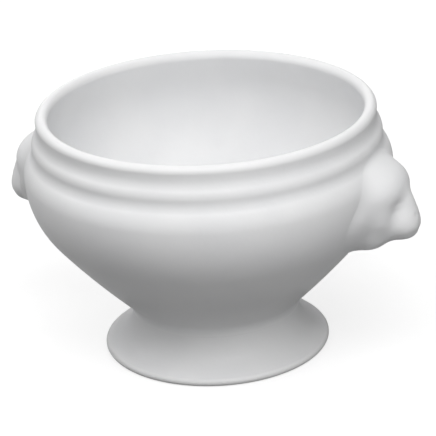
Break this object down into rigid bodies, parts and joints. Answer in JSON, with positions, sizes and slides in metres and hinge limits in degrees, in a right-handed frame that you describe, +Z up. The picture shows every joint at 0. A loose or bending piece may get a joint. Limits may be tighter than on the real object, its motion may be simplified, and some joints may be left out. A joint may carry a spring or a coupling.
{
  "type": "footed soup crock",
  "caption": "White glazed porcelain soup crock: round bowl with rolled lip and bead, flared hollow foot, and a lion head lug luted on each side.",
  "frame": {"origin": "centre of the foot ring's underside, on the surface that the crock stands on", "axes": "+Z up along the bowl's axis, +X through the lion heads, +Y to the back"},
  "size_m": [0.1578, 0.132, 0.0914],
  "materials": {
    "glaze": "soft-gloss white feldspathic glaze on porcelain",
    "slip": "fired porcelain slip under the glaze"
  },
  "bodies": {
    "root": {"bowl": "glaze", "pedestal_foot": "glaze", "lion_head_left": "glaze", "lion_head_right": "glaze", "slip_ring_foot": "slip", "slip_pad_left": "slip", "slip_pad_right": "slip"}
  },
  "joints": []
}
